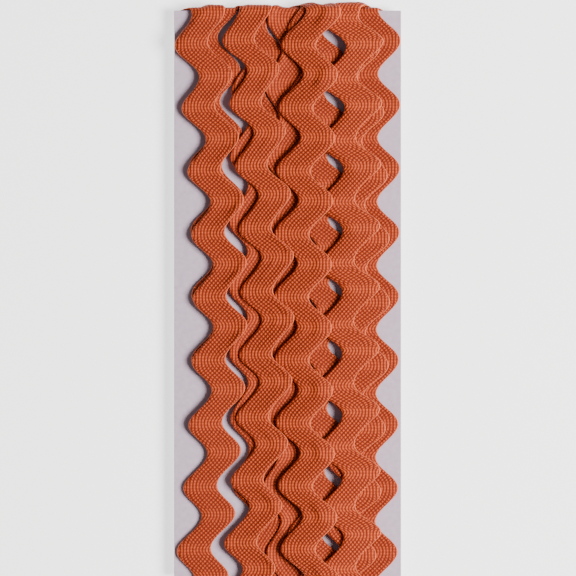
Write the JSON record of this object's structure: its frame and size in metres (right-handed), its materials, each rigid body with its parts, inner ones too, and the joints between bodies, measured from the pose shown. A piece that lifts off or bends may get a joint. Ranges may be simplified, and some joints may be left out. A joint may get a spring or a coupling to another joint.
{
  "type": "ric rac trimming wound on a card",
  "caption": "Wavy ric rac braid wound lengthwise round a flat card in overlapping turns, its waves crossing and leaving gaps that show the card.",
  "frame": {"origin": "middle of the footprint, on the surface that the back of the winding rests on", "axes": "+Z out of the front face, +Y along the card towards the end shown in the picture's upper edge, +X to the right seen from the front"},
  "size_m": [0.0508, 0.1311, 0.0058],
  "materials": {
    "ric_rac": "matte woven polyester braid",
    "card": "matte uncoated card"
  },
  "bodies": {
    "root": {"card": "card", "ric_rac": "ric_rac"}
  },
  "joints": []
}
